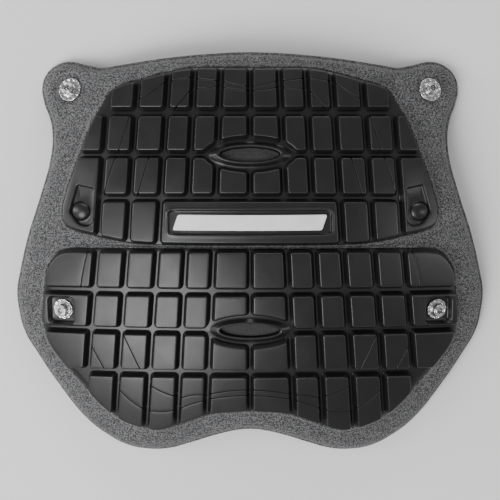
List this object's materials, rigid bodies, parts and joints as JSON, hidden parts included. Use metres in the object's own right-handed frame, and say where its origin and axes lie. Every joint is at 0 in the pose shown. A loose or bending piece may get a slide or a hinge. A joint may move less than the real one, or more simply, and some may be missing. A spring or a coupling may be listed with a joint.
{
  "type": "chest protector insert",
  "caption": "Curved foam chest pad with moulded plates of raised blocks, mesh vents and metal snap studs; hollow behind for the chest.",
  "frame": {"origin": "middle of the footprint, on the surface that the protector rests on, hollow side down", "axes": "+X across the chest, +Y from the belly to the neck, +Z away from the chest"},
  "size_m": [0.3016, 0.2586, 0.0575],
  "materials": {
    "foam_fabric": "dark grey speckled knit bonded to moulded foam",
    "black_plastic": "satin black injection-moulded plastic",
    "vent_weave": "fine black mesh",
    "white_inlay": "white satin inlay",
    "stud_metal": "polished dark nickel"
  },
  "bodies": {
    "root": {"foam_pad": "foam_fabric", "upper_plate": "black_plastic", "lower_plate": "black_plastic", "vent_mesh_upper": "vent_weave", "vent_mesh_lower": "vent_weave", "panel_inlay": "white_inlay", "snap_upper_left": "stud_metal", "snap_upper_right": "stud_metal", "snap_lower_left": "stud_metal", "snap_lower_right": "stud_metal"}
  },
  "joints": []
}
